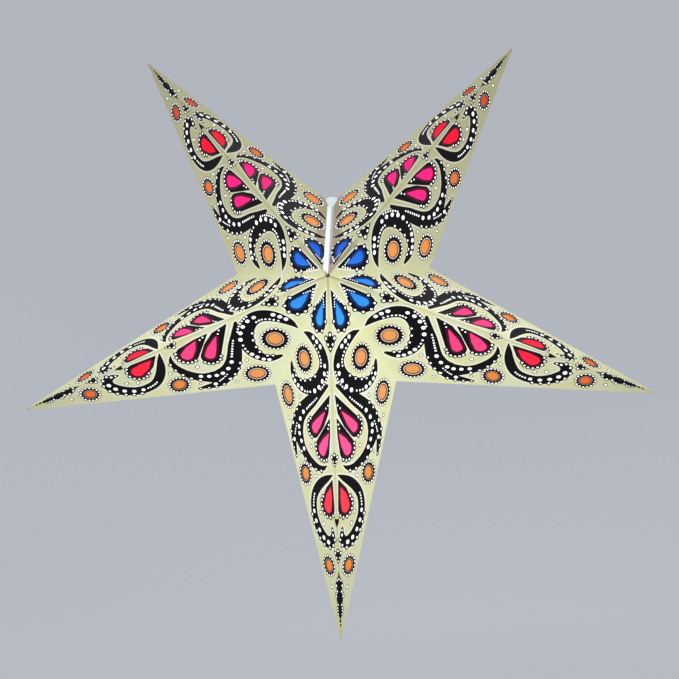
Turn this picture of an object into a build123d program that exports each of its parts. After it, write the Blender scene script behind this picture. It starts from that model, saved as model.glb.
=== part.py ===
from build123d import *
from math import atan2, cos, degrees, hypot, radians, sin, sqrt, tan
import os

# A five-pointed folding paper star lantern. The origin is the mouth of the cord inlet that it
# hangs from, +Z is up, -Y is the front and the star stands in the XZ plane below and around it.

# The star
arm_count = 5
tip_radius = 315.0  # star's centre to an arm's tip
notch_radius = 97.6  # star's centre to a notch between two arms
half_depth = 105.0  # middle plane to the front or back apex
paper_thickness = 0.5
apex_hole_radius = 2.4  # the corners of the sheets stop short of each apex

# Creases between the rigid panels
crease_gap = 0.05  # from a panel's square edge to the plane that halves the crease
ridge_roll = 0.4  # from a panel's inner face to the line that a ridge folds about
valley_roll = 0.15  # from a panel's outer face to the line that a valley folds about
open_ridge_gap = 4.6  # set-back of the back ridge at the apex, where the linkage is opened

# Tissue behind the windows
tissue_thickness = 0.15
tissue_margin = 2.0
drop_point_radius = 0.7

# Closing seam at the top notch
seam_strip_width = 4.3
seam_strip_gap = 0.4
seam_lining_thickness = 0.3
seam_lining_gap = 0.3  # from a lining strip to the tissue beside it

# Clear tape tab on the side edge beside the top notch
tab_from_notch = 45.7
tab_length = 9.0
tab_width = 6.0
tab_overhang = 2.2
tab_thickness = 0.15

# Lampholder and bulb
seat_clearance = 0.3
grip_rise = 5.9  # cord inlet's mouth above the notch
grip_radius = 5.8
grip_bore_radius = 3.2
grip_length = 19.0
grip_hole_clearance = 0.4
grip_edge_round = 1.2
holder_radius = 14.0
holder_wall = 1.6
holder_length = 44.0
holder_split_gap = 0.3
holder_rib_count = 24
holder_rib_radius = 0.45
holder_floor = 2.4
sleeve_radius = 7.6
sleeve_wall = 0.4
sleeve_length = 20.0
screw_cap_radius = 6.9
screw_cap_wall = 0.35
screw_cap_length = 18.5
screw_thread_pitch = 2.8
screw_thread_depth = 0.45
contact_stud_radius = 2.6
contact_stud_length = 2.0
contact_leaf_width = 5.0
contact_leaf_thickness = 0.4
globe_radius = 22.5
globe_wall = 1.0
globe_below_centre = 0.5  # globe's centre below the star's centre
collar_top_radius = 9.5
collar_bottom_radius = 17.5
collar_wall = 1.2
collar_length = 20.0

# Windows cut in each panel. A place is a share of the way to the tip and a share of the way to
# the notch, both from the apex, and a radius is a share of the notch's distance from the ridge.
# A drop has its point, then the places and radii of its waist and its end, and an oval has its
# middle, two radii and turn.
blue_drop_shares = [(0.0427, 0.102), (0.0559, 0.138), 0.0414, (0.0667, 0.161), 0.0573]
outer_pink_drop_shares = [(0.3248, 0.134), (0.3223, 0.242), 0.0446, (0.3182, 0.311), 0.0520]
inner_pink_drop_shares = [(0.3989, 0.083), (0.4058, 0.149), 0.0499, (0.4097, 0.199), 0.0605]
red_drop_shares = [(0.5482, 0.078), (0.5662, 0.116), 0.0531, (0.5839, 0.139), 0.0637]
oval_shares = [
    [(0.0883, 0.446), (0.067, 0.074), 0],
    [(0.0959, 0.770), (0.074, 0.062), -20],
    [(0.3958, 0.504), (0.064, 0.053), 24],
    [(0.7479, 0.154), (0.055, 0.050), 0],
]

# Places that follow from the sizes above
half_wedge = 360 / arm_count / 2
ridge_length = hypot(tip_radius, half_depth)
valley_length = hypot(notch_radius, half_depth)
star_centre = Vector(0, 0, -(notch_radius + grip_rise))
front_apex = star_centre - Vector(0, half_depth, 0)
back_apex = star_centre + Vector(0, half_depth, 0)
cut_overrun = 2 * paper_thickness


def rim_point(step):
    """Corner of the star's outline, counted clockwise from the top notch, tips at odd steps."""
    angle = radians(90 - half_wedge * step)
    radius = tip_radius if step % 2 else notch_radius
    return star_centre + Vector(radius * cos(angle), 0, radius * sin(angle))


def half_angle(along, third, plane_normal):
    """Angle between a panel and the plane that halves its crease, in radians."""
    across = third - along * third.dot(along)
    rise = abs(across.normalized().dot(plane_normal))
    return atan2(rise, sqrt(1 - rise**2))


# Half angles of the three creases, from the panel right of the top notch
first_tip = rim_point(1)
top_notch = rim_point(0)
ridge_along = (first_tip - front_apex).normalized()
valley_along = (top_notch - front_apex).normalized()
side_along = (first_tip - top_notch).normalized()
front_to_back = Vector(0, 1, 0)
ridge_plane_normal = front_to_back.cross(ridge_along).normalized()
valley_plane_normal = front_to_back.cross(valley_along).normalized()
ridge_half = half_angle(ridge_along, top_notch - front_apex, ridge_plane_normal)
valley_half = half_angle(valley_along, first_tip - front_apex, valley_plane_normal)
side_half = half_angle(side_along, front_apex - top_notch, front_to_back)


def set_back(depth, half):
    """How far an edge stands back in its plane from a crease, to clear it at a depth."""
    return depth / tan(half) + crease_gap / sin(half)


half_paper = paper_thickness / 2
ridge_set_back = set_back(half_paper, ridge_half)
valley_set_back = set_back(half_paper, valley_half)
side_set_back = set_back(half_paper, side_half)
lining_side_set_back = set_back(half_paper + seam_lining_thickness, side_half)

# The panel's flat outline: apex at zero, tip along u, notch beside it along v
notch_turn = ridge_along.get_angle(valley_along)
notch_u = valley_length * cos(radians(notch_turn))
notch_v = valley_length * sin(radians(notch_turn))
side_turn = degrees(atan2(notch_v, ridge_length - notch_u))


def crossing(start_a, turn_a, start_b, turn_b):
    """Where two lines of the flat panel cross, each through a point at a turn in degrees."""
    away_a = (cos(radians(turn_a)), sin(radians(turn_a)))
    away_b = (cos(radians(turn_b)), sin(radians(turn_b)))
    gap = (start_b[0] - start_a[0], start_b[1] - start_a[1])
    steps = (gap[0] * away_b[1] - gap[1] * away_b[0]) / (away_a[0] * away_b[1] - away_a[1] * away_b[0])
    return (start_a[0] + steps * away_a[0], start_a[1] + steps * away_a[1])


def panel_corners(ridge_back_at_apex, valley_back, side_back):
    """Apex, tip and notch corners of a panel whose edges stand back from the creases."""
    ridge_start = (0, ridge_back_at_apex)
    ridge_turn = degrees(atan2(ridge_set_back - ridge_back_at_apex, ridge_length))
    valley_start = (
        valley_back * sin(radians(notch_turn)),
        -valley_back * cos(radians(notch_turn)),
    )
    side_start = (
        ridge_length - side_back * sin(radians(side_turn)),
        -side_back * cos(radians(side_turn)),
    )
    return [
        crossing(ridge_start, ridge_turn, valley_start, notch_turn),
        crossing(ridge_start, ridge_turn, side_start, -side_turn),
        crossing(valley_start, notch_turn, side_start, -side_turn),
    ]


def panel_plane(apex, tip, notch):
    """Plane in the middle of a panel's thickness, with the notch on its +Y side."""
    return Plane(origin=apex, x_dir=tip - apex, z_dir=(tip - apex).cross(notch - apex))


def inward(plane):
    """1 where the plane's normal points into the star, and -1 where it points out."""
    return 1 if plane.z_dir.dot(star_centre - plane.origin) > 0 else -1


def placed(shares):
    """A place in the flat panel, from its shares."""
    return (shares[0] * ridge_length + shares[1] * notch_u, shares[1] * notch_v)


def from_valley(place):
    """Distance of a place in the flat panel from the valley's line."""
    return place[0] * sin(radians(notch_turn)) - place[1] * cos(radians(notch_turn))


def drop_shape(shares, grow):
    """A teardrop: circles at its point, its waist and its end, joined by their tangents."""
    point, waist, waist_radius, end, end_radius = shares
    with BuildSketch() as drop:
        with Locations(placed(point)):
            Circle(drop_point_radius + grow)
        with Locations(placed(waist)):
            Circle(waist_radius * notch_v + grow)
        with Locations(placed(end)):
            Circle(end_radius * notch_v + grow)
        make_hull()
    return drop.sketch


def window_shapes(grow):
    """Every window of one panel, made larger all round by grow."""
    with BuildSketch() as windows:
        for shares in (blue_drop_shares, outer_pink_drop_shares, inner_pink_drop_shares, red_drop_shares):
            add(drop_shape(shares, grow))
        for place, radii, turn in oval_shares:
            with Locations(placed(place)):
                Ellipse(radii[0] * notch_v + grow, radii[1] * notch_v + grow, turn)
    return windows.sketch


windows_cut = window_shapes(0)
tissue_cut = window_shapes(tissue_margin)

arm_names = ["upper_right", "right", "bottom", "left", "upper_left"]
half_names = ["left", "right"]
face_names = ["front", "back"]
apexes = [front_apex, back_apex]
last_step = 2 * arm_count - 1
seam_valley_set_back = valley_set_back + seam_strip_width + seam_strip_gap
lining_edge = tissue_margin + seam_lining_gap
lining_start = hypot(*placed(blue_drop_shares[3])) + blue_drop_shares[4] * notch_v + lining_edge
lining_reach = min(
    from_valley(placed(place)) - max(radii) * notch_v - lining_edge for place, radii, turn in oval_shares
)
grip_hole_radius = grip_radius + grip_hole_clearance

# Lines that the creases fold about: a ridge behind its panels' inner faces, a valley before
# their outer faces and a side crease where the outer faces meet
ridge_line_depth = (half_paper + ridge_roll) / sin(ridge_half)
valley_line_rise = (half_paper + valley_roll) / sin(valley_half)
side_line_rise = half_paper / sin(side_half)


def print_line(name, place, along):
    """Print a fold line's place and direction."""
    print(f"{name}: through ({place.X:.4f}, {place.Y:.4f}, {place.Z:.4f})"
          f" along ({along.X:.6f}, {along.Y:.6f}, {along.Z:.6f})")


for step in range(1, last_step + 1):
    corner = rim_point(step)
    along = (corner - front_apex).normalized()
    outward = along.cross(front_to_back.cross(along)).normalized()
    if step % 2:
        print_line(f"{arm_names[step // 2]} ridge", front_apex + outward * ridge_line_depth, along)
    else:
        print_line(f"{arm_names[step // 2 - 1]} valley", front_apex - outward * valley_line_rise, along)
for step in range(2 * arm_count):
    along = (rim_point(step + 1) - rim_point(step)).normalized()
    middle = (rim_point(step) + rim_point(step + 1)) / 2
    outward = along.cross(front_to_back)
    outward = outward if outward.dot(middle - star_centre) > 0 else -outward
    name = f"{arm_names[step // 2]} {half_names[step % 2]} side"
    print_line(name, middle + outward * side_line_rise, along)

os.makedirs("parts", exist_ok=True)


def keep(part, name):
    """Label a finished piece and write it."""
    part.label = name
    export_step(part, f"parts/{name}.step")


# Paper panels and the tissue behind their windows, clockwise from the top notch
for step in range(2 * arm_count):
    for face, apex in zip(face_names, apexes):
        tip_step = step if step % 2 else step + 1
        notch_step = step + 1 if step % 2 else step
        plane = panel_plane(apex, rim_point(tip_step), rim_point(notch_step))
        ridge_back = ridge_set_back if face == "front" else open_ridge_gap
        valley_back = seam_valley_set_back if step == last_step else valley_set_back
        name = f"{arm_names[step // 2]}_{face}_{half_names[step % 2]}"

        with BuildPart() as panel:
            with BuildSketch(plane):
                with BuildLine():
                    Polyline(*panel_corners(ridge_back, valley_back, side_set_back), close=True)
                make_face()
            extrude(amount=half_paper, both=True)
            with BuildSketch(plane):
                Circle(apex_hole_radius)
                add(windows_cut)
            extrude(amount=cut_overrun, both=True, mode=Mode.SUBTRACT)
            if step in (0, last_step):
                with BuildSketch(Plane.XY):
                    Circle(grip_hole_radius)
                extrude(amount=grip_length, both=True, mode=Mode.SUBTRACT)
        keep(panel.part, f"{name}_panel")

        inner_face = plane.offset(inward(plane) * half_paper)
        with BuildPart() as tissue:
            with BuildSketch(inner_face):
                add(tissue_cut)
            extrude(amount=inward(plane) * tissue_thickness)
        keep(tissue.part, f"{name}_tissue")

# Closing strips over the seam, each in the plane of the panel left of the seam and carried by
# the panel right of it, with a slot that lets the cord grip out to the left
for face, apex in zip(face_names, apexes):
    plane = panel_plane(apex, rim_point(last_step), rim_point(last_step + 1))
    inner_edge = panel_corners(ridge_set_back, valley_set_back, side_set_back)
    outer_edge = panel_corners(ridge_set_back, valley_set_back + seam_strip_width, side_set_back)
    with BuildPart() as strip:
        with BuildSketch(plane):
            with BuildLine():
                Polyline(inner_edge[0], inner_edge[2], outer_edge[2], outer_edge[0], close=True)
            make_face()
            Circle(apex_hole_radius, mode=Mode.SUBTRACT)
        extrude(amount=half_paper, both=True)
        with BuildSketch(Plane.XY):
            with Locations((-holder_radius / 2, 0)):
                SlotCenterToCenter(holder_radius, 2 * grip_hole_radius)
        extrude(amount=grip_length, both=True, mode=Mode.SUBTRACT)
    keep(strip.part, f"{face}_closing_strip")

# Lining strips glued inside along both sides of the seam
for face, apex in zip(face_names, apexes):
    for side, tip_step, notch_step, valley_back in (
        ("right", 1, 0, valley_set_back),
        ("left", last_step, last_step + 1, seam_valley_set_back),
    ):
        plane = panel_plane(apex, rim_point(tip_step), rim_point(notch_step))
        inner_face = plane.offset(inward(plane) * half_paper)
        near = panel_corners(ridge_set_back, valley_back, lining_side_set_back)
        far = panel_corners(ridge_set_back, lining_reach, lining_side_set_back)
        with BuildPart() as lining:
            with BuildSketch(inner_face):
                with BuildLine():
                    Polyline(near[0], near[2], far[2], far[0], close=True)
                make_face()
                Circle(lining_start, mode=Mode.SUBTRACT)
            extrude(amount=inward(plane) * seam_lining_thickness)
            with BuildSketch(Plane.XY):
                Circle(grip_hole_radius)
            extrude(amount=grip_length, both=True, mode=Mode.SUBTRACT)
        keep(lining.part, f"{face}_seam_lining_{side}")

# Clear tape tab on the outer face of the panel left of the seam, over its side edge
tab_plane = panel_plane(front_apex, rim_point(last_step), rim_point(last_step + 1))
tab_face = tab_plane.offset(-inward(tab_plane) * half_paper)
tab_along = (cos(radians(side_turn)), -sin(radians(side_turn)))
tab_out = (sin(radians(side_turn)), cos(radians(side_turn)))
tab_shift = tab_overhang - tab_width / 2
tab_middle = (
    notch_u + tab_from_notch * tab_along[0] + tab_shift * tab_out[0],
    notch_v + tab_from_notch * tab_along[1] + tab_shift * tab_out[1],
)
with BuildPart() as tape_tab:
    with BuildSketch(tab_face):
        with Locations(tab_middle):
            SlotOverall(tab_length, tab_width, rotation=-side_turn)
    extrude(amount=-inward(tab_plane) * tab_thickness)
keep(tape_tab.part, "edge_tape_tab")

# Lampholder: its cone lies along the seam's two valley edges, which rest on it
seat_offset = half_paper + seam_lining_thickness + seat_clearance
cone_offset = seat_offset * hypot(1, half_depth / notch_radius)


def cone_height(radius):
    """Height at which the cone under the notch has a radius."""
    return star_centre.Z + notch_radius * (1 - (radius + cone_offset) / half_depth)


cone_top = cone_height(grip_radius)
cone_bottom = cone_height(holder_radius)
cap_skirt = holder_length / 5
cap_bottom = cone_bottom - cap_skirt
holder_bottom = cone_bottom - holder_length
bore_radius = holder_radius - holder_wall
grip_bottom = -grip_length

with BuildPart() as cord_grip:
    with BuildSketch(Plane.XY):
        Circle(grip_radius)
        Circle(grip_bore_radius, mode=Mode.SUBTRACT)
    extrude(amount=-grip_length)
    fillet(cord_grip.edges().filter_by(GeomType.CIRCLE).group_by(Axis.Z)[-1].sort_by(SortBy.RADIUS)[-1:],
           grip_edge_round)
keep(cord_grip.part, "lamp_cord_grip")

with BuildPart() as holder_cap:
    with BuildSketch(Plane.XZ):
        with BuildLine():
            Polyline(
                (grip_radius, cone_top),
                (holder_radius, cone_bottom),
                (holder_radius, cap_bottom),
                (bore_radius, cap_bottom),
                (bore_radius, cone_bottom - holder_wall),
                (grip_radius, cone_top - holder_wall * hypot(1, notch_radius / half_depth)),
                close=True,
            )
        make_face()
    revolve(axis=Axis.Z)
keep(holder_cap.part, "lamp_holder_cap")

body_top = cap_bottom - holder_split_gap
with BuildPart() as holder_body:
    with BuildSketch(Plane.XY.offset(holder_bottom)):
        Circle(holder_radius)
        with PolarLocations(holder_radius, holder_rib_count):
            Circle(holder_rib_radius)
        Circle(bore_radius, mode=Mode.SUBTRACT)
    extrude(amount=body_top - holder_bottom)
    with BuildSketch(Plane.XY.offset(body_top - holder_floor)):
        Circle(bore_radius)
    extrude(amount=holder_floor)
    with BuildSketch(Plane.XY.offset(body_top)):
        Circle(bore_radius)
        Circle(bore_radius - holder_wall, mode=Mode.SUBTRACT)
    extrude(amount=cap_skirt - holder_wall)
keep(holder_body.part, "lamp_holder_body")

# Socket inside the holder: threaded sleeve and the spring leaf of the centre contact
floor_under = body_top - holder_floor
with BuildPart() as socket_sleeve:
    with BuildSketch(Plane.XY.offset(floor_under)):
        Circle(sleeve_radius)
        Circle(sleeve_radius - sleeve_wall, mode=Mode.SUBTRACT)
    extrude(amount=-sleeve_length)
keep(socket_sleeve.part, "lamp_socket_sleeve")

screw_top = floor_under - 2 * contact_stud_length
leaf_drop = floor_under - screw_top - contact_stud_length
with BuildPart() as contact_leaf:
    with BuildSketch(Plane.XZ):
        with BuildLine():
            Polyline(
                (-contact_leaf_width, floor_under),
                (contact_leaf_width / 2, floor_under),
                (contact_leaf_width / 2, floor_under - contact_leaf_thickness),
                (-contact_leaf_width / 2, floor_under - contact_leaf_thickness),
                (-contact_leaf_width / 2, floor_under - leaf_drop + contact_leaf_thickness),
                (contact_leaf_width / 2, floor_under - leaf_drop + contact_leaf_thickness),
                (contact_leaf_width / 2, floor_under - leaf_drop),
                (-contact_leaf_width, floor_under - leaf_drop),
                close=True,
            )
        make_face()
    extrude(amount=contact_leaf_width / 2, both=True)
keep(contact_leaf.part, "lamp_centre_contact")

# Bulb: screw cap, its insulated tip contact, collar and globe
screw_bottom = screw_top - screw_cap_length
thread_turns = int((screw_cap_length - 2 * screw_thread_pitch) / screw_thread_pitch)
screw_inner = screw_cap_radius - screw_thread_depth - screw_cap_wall
with BuildPart() as screw_cap:
    with BuildSketch(Plane.XZ):
        with BuildLine():
            crest = screw_cap_radius
            root = screw_cap_radius - screw_thread_depth
            points = [(screw_inner, screw_bottom), (root, screw_bottom)]
            for turn in range(thread_turns):
                height = screw_bottom + (turn + 1) * screw_thread_pitch
                points.append((root, height - screw_thread_pitch / 2))
                points.append((crest, height - screw_thread_pitch / 4))
                points.append((crest, height))
                points.append((root, height + screw_thread_pitch / 4))
            points.append((root, screw_top - screw_thread_pitch))
            points.append((contact_stud_radius * 2, screw_top))
            points.append((contact_stud_radius, screw_top))
            points.append((contact_stud_radius, screw_top - screw_cap_wall))
            points.append((contact_stud_radius * 2 - screw_cap_wall, screw_top - screw_cap_wall))
            points.append((screw_inner, screw_top - screw_thread_pitch - screw_cap_wall))
            Polyline(*points, close=True)
        make_face()
    revolve(axis=Axis.Z)
keep(screw_cap.part, "bulb_screw_cap")

with BuildPart() as tip_contact:
    with BuildSketch(Plane.XY.offset(screw_top - screw_cap_wall)):
        Circle(contact_stud_radius)
    extrude(amount=contact_stud_length + screw_cap_wall)
    fillet(tip_contact.faces().sort_by(Axis.Z)[-1].edges(), contact_stud_length / 2)
keep(tip_contact.part, "bulb_tip_contact")

globe_centre_z = star_centre.Z - globe_below_centre
globe_cut_z = globe_centre_z + sqrt(globe_radius**2 - collar_bottom_radius**2)
collar_top = globe_cut_z + collar_length
with BuildPart() as collar:
    with BuildSketch(Plane.XZ):
        with BuildLine():
            outer = Spline(
                (collar_bottom_radius, globe_cut_z),
                (collar_top_radius, collar_top),
                tangents=[(-1, 2), (0, 1)],
            )
            Line(outer @ 1, (screw_inner, collar_top))
            Line((screw_inner, collar_top), (screw_inner, collar_top - collar_wall))
            inner = Spline(
                (collar_bottom_radius - collar_wall, globe_cut_z),
                (collar_top_radius - collar_wall, collar_top - collar_wall),
                tangents=[(-1, 2), (0, 1)],
            )
            Line((screw_inner, collar_top - collar_wall), inner @ 1)
            Line(inner @ 0, outer @ 0)
        make_face()
    revolve(axis=Axis.Z)
    with BuildSketch(Plane.XY.offset(collar_top - collar_wall)):
        Circle(root)
        Circle(screw_inner, mode=Mode.SUBTRACT)
    extrude(amount=screw_bottom - collar_top + collar_wall)
keep(collar.part, "bulb_collar")

with BuildPart() as globe:
    with BuildSketch(Plane.XZ):
        with Locations((0, globe_centre_z)):
            Circle(globe_radius)
            Circle(globe_radius - globe_wall, mode=Mode.SUBTRACT)
        with Locations((-globe_radius, globe_centre_z)):
            Rectangle(2 * globe_radius, 4 * globe_radius, mode=Mode.SUBTRACT)
        with Locations((0, globe_cut_z + globe_radius)):
            Rectangle(4 * globe_radius, 2 * globe_radius, mode=Mode.SUBTRACT)
    revolve(axis=Axis.Z)
keep(globe.part, "bulb_globe")
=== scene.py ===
from math import atan2, cos, degrees, hypot, pi, radians, sin, tan

import bpy
import numpy as np
from mathutils import Matrix, Vector
from mathutils.geometry import convex_hull_2d, delaunay_2d_cdt


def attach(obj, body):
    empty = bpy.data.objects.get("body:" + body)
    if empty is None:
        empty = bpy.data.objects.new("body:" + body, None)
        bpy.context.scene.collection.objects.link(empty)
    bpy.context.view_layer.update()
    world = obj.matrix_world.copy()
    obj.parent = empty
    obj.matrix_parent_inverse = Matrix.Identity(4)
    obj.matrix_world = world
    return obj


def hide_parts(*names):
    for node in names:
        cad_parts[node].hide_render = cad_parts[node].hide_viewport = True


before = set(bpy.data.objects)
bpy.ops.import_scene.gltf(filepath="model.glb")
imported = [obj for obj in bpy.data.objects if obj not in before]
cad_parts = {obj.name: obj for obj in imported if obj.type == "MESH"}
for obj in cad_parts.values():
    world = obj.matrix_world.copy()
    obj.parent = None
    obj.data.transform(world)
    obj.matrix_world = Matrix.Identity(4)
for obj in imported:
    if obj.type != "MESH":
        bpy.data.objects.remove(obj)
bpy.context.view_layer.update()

# Viewpoint: a normal lens, turned a little to the lantern's right and looking up at it from below
# its middle. Angles, distance and focal length are those that fit the corners of the star best.
star_middle = Vector((0, 0, -0.1035))
turn, rise, tilt = radians(2.39), radians(-10.03), radians(-1.28)
camera_away, camera_right, camera_down = 0.9122, 0.00457, 0.03698
back = Vector((sin(turn) * cos(rise), -cos(turn) * cos(rise), sin(rise)))
right = Vector((cos(turn), sin(turn), 0))
up = back.cross(right)
right_tilted = cos(tilt) * right + sin(tilt) * up
up_tilted = cos(tilt) * up - sin(tilt) * right
camera = bpy.data.objects.new("camera", bpy.data.cameras.new("camera"))
bpy.context.scene.collection.objects.link(camera)
camera.data.sensor_width = 36
camera.data.lens = 50.07
camera.data.clip_start, camera.data.clip_end = 0.05, 30
camera_place = star_middle + back * camera_away + right * camera_right - up * camera_down
camera_axes = Matrix((right_tilted, up_tilted, back)).transposed().to_4x4()
camera.matrix_world = Matrix.Translation(camera_place) @ camera_axes
bpy.context.scene.camera = camera
bpy.context.scene.view_settings.view_transform = "Standard"


# Studio: the lantern hangs in a round sweep of matt grey paint, a floor that curves up into its
# wall so that no corner shows. A pale sky and three soft lamps light it, the last from behind.
def colour(hex_value):
    """Linear colour of an sRGB hex value."""
    parts = [int(hex_value[i:i + 2], 16) / 255 for i in (1, 3, 5)]
    return [c / 12.92 if c <= 0.04045 else ((c + 0.055) / 1.055) ** 2.4 for c in parts] + [1.0]


def empty_tree(owner):
    """The node tree of a material or a world, cleared."""
    owner.use_nodes = True
    owner.node_tree.nodes.clear()
    return owner.node_tree


def add(tree, kind, links=None, **settings):
    """Add a node with its settings. A socket takes a value, another socket, or a node's first output."""
    made = tree.nodes.new(kind)
    for name, value in settings.items():
        setattr(made, name, value)
    for socket, value in (links or {}).items():
        if isinstance(value, bpy.types.Node):
            value = value.outputs[0]
        if isinstance(value, bpy.types.NodeSocket):
            tree.links.new(value, made.inputs[socket])
        else:
            made.inputs[socket].default_value = value
    return made


def ellipse(middle, radius_u, radius_v, turned=0.0, count=12):
    """Points round an ellipse, turned in degrees."""
    c, s = cos(radians(turned)), sin(radians(turned))
    ring = [(radius_u * cos(2 * pi * k / count), radius_v * sin(2 * pi * k / count)) for k in range(count)]
    return [(middle[0] + x * c - y * s, middle[1] + x * s + y * c) for x, y in ring]


def band(low, high, count):
    """Quads between two rings of points, numbered from low and from high."""
    return [(low + k, high + k, high + (k + 1) % count, low + (k + 1) % count) for k in range(count)]


sweep_floor, sweep_radius, sweep_cove, sweep_top = -0.52, 2.6, 1.1, 3.2
cove_steps, sweep_rounds = 12, 96
profile = [(sweep_radius - sweep_cove, sweep_floor)]
for step in range(1, cove_steps + 1):
    angle = step / cove_steps * pi / 2
    profile.append((sweep_radius - sweep_cove * (1 - sin(angle)),
                    sweep_floor + sweep_cove * (1 - cos(angle))))
profile.append((sweep_radius, sweep_top))
points = [(0, 0, sweep_floor)]
for radius, height in profile:
    points += [(x, y, height) for x, y in ellipse((0, 0), radius, radius, count=sweep_rounds)]
faces = [(0, 1 + k, 1 + (k + 1) % sweep_rounds) for k in range(sweep_rounds)]
for row in range(len(profile) - 1):
    faces += band(1 + row * sweep_rounds, 1 + (row + 1) * sweep_rounds, sweep_rounds)
sweep_mesh = bpy.data.meshes.new("studio_sweep")
sweep_mesh.from_pydata(points, [], faces)
sweep_mesh.shade_smooth()
sweep = bpy.data.objects.new("studio_sweep", sweep_mesh)
bpy.context.scene.collection.objects.link(sweep)
sweep.visible_diffuse = False
sweep.visible_shadow = False

# Rolled emulsion paint: an even grey without shine. Its own light, which shows to the camera, in
# shine and through glass only, keeps it pale
paint = bpy.data.materials.new("matt_grey_paint")
tree = empty_tree(paint)
rays = add(tree, "ShaderNodeLightPath").outputs
seen = add(tree, "ShaderNodeMath", {0: rays["Is Camera Ray"], 1: rays["Is Glossy Ray"]}, operation="MAXIMUM")
seen = add(tree, "ShaderNodeMath", {0: seen, 1: rays["Is Transmission Ray"]}, operation="MAXIMUM")
own = add(tree, "ShaderNodeEmission", {"Color": colour("#b9bcc3"), "Strength": 0.72})
lit = add(tree, "ShaderNodeBsdfDiffuse", {"Color": colour("#74777d")})
both = add(tree, "ShaderNodeAddShader", {0: own, 1: lit})
mixed = add(tree, "ShaderNodeMixShader", {0: seen, 1: lit, 2: both})
add(tree, "ShaderNodeOutputMaterial", {"Surface": mixed})
sweep_mesh.materials.append(paint)

# A pale sky, brighter where it is seen than where it lights the paper. Map Range takes what is
# measured as 0, its range as 1 and 2, and what that becomes as 3 and 4
world = bpy.data.worlds.new("studio_light")
bpy.context.scene.world = world
tree = empty_tree(world)
rays = add(tree, "ShaderNodeLightPath").outputs
seen = add(tree, "ShaderNodeMath", {0: rays["Is Camera Ray"], 1: rays["Is Glossy Ray"]}, operation="MAXIMUM")
strength = add(tree, "ShaderNodeMapRange", {0: seen, 3: 0.62, 4: 1.0})
sky = add(tree, "ShaderNodeBackground", {"Color": colour("#e6e8ec"), "Strength": strength})
add(tree, "ShaderNodeOutputWorld", {"Surface": sky})

for name, place, size, power in (
    ("key_light", (-1.1, -1.5, 1.0), 1.0, 10.5),
    ("fill_light", (1.4, -1.2, 0.2), 1.2, 6),
    ("back_light", (0.3, 1.6, 1.1), 1.0, 9),
):
    lamp = bpy.data.lights.new(name, "AREA")
    lamp.size, lamp.energy = size, power
    lamp_object = bpy.data.objects.new(name, lamp)
    lamp_object.location = place
    lamp_object.rotation_mode = "QUATERNION"
    lamp_object.rotation_quaternion = (star_middle - Vector(place)).to_track_quat("-Z", "Y")
    bpy.context.scene.collection.objects.link(lamp_object)


# Star shell: twenty flat triangles of stiff handmade paper, folded along ridges, valleys and side
# edges. Each is screen printed with vines and beads that repeat, mirrored, across the ridge, is
# cut through at eight windows, and is pierced at its beads, which show the white lining.

# Sizes are in millimetres. On a flat panel u runs from the apex along the ridge, and v away from it
arm_names = ["upper_right", "right", "bottom", "left", "upper_left"]
half_names = ["left", "right"]
tip_radius, notch_radius, half_depth = 315.0, 97.6, 105.0
paper_half = 0.25  # half the sheet's thickness
hairline = 0.012  # left between a panel's edge and the middle of its fold
tip_cut = 330.6  # the tip is cut blunt this far along the ridge
seam_trim = 4.7  # the panel left of the seam ends beside the closing strip
grip_hole_radius, apex_hole_radius, apex_rim_radius = 6.2, 0.8, 1.9
bead_floor = -0.06  # height of the lining that shows in a pierced bead, from the sheet's middle
round_hole_points, oval_points = 40, 32
merge_cuts, merge_rims, sliver = 1e-5, 1e-6, 1e-7  # nearer points merge, smaller triangles go
mm_per_metre = 1000

# Half the angle between two panels at each crease, and the turn from a panel's ridge to its valley
ridge_half_angle, valley_half_angle, side_half_angle = radians(37.54), radians(58.12), radians(54.68)
notch_turn = radians(41.06)
ridge_length = hypot(tip_radius, half_depth)
valley_length = hypot(notch_radius, half_depth)
notch = (valley_length * cos(notch_turn), valley_length * sin(notch_turn))
side_turn = atan2(notch[1], ridge_length - notch[0])

# Windows: drops as circles (u, v, radius) from the point to the broad end, and ovals as middle,
# radius along and across, turn in degrees, width of their border and number of its beads
blue_drop = [(25.2, 9.6, 0.7), (33.5, 13.0, 3.9), (39.6, 15.2, 5.4)]
outer_pink_drop = [(122.3, 12.6, 0.7), (133.2, 22.8, 4.2), (139.3, 29.3, 4.9)]
inner_pink_drop = [(141.4, 7.8, 0.7), (150.8, 14.0, 4.7), (157.5, 18.7, 5.7)]
red_drop = [(190.4, 7.3, 0.7), (200.5, 10.9, 5.0), (208.9, 13.1, 6.0)]
drop_windows = (blue_drop, outer_pink_drop, inner_pink_drop, red_drop)
ovals = [((77.5, 42.0), 6.31, 6.97, 0, 6.1, 20), ((115.1, 72.5), 6.97, 5.84, -20, 5.0, 19),
         ((185.9, 47.5), 6.03, 4.99, 24, 4.3, 17), ((265.0, 14.5), 5.18, 4.71, 0, 4.0, 15)]

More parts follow.
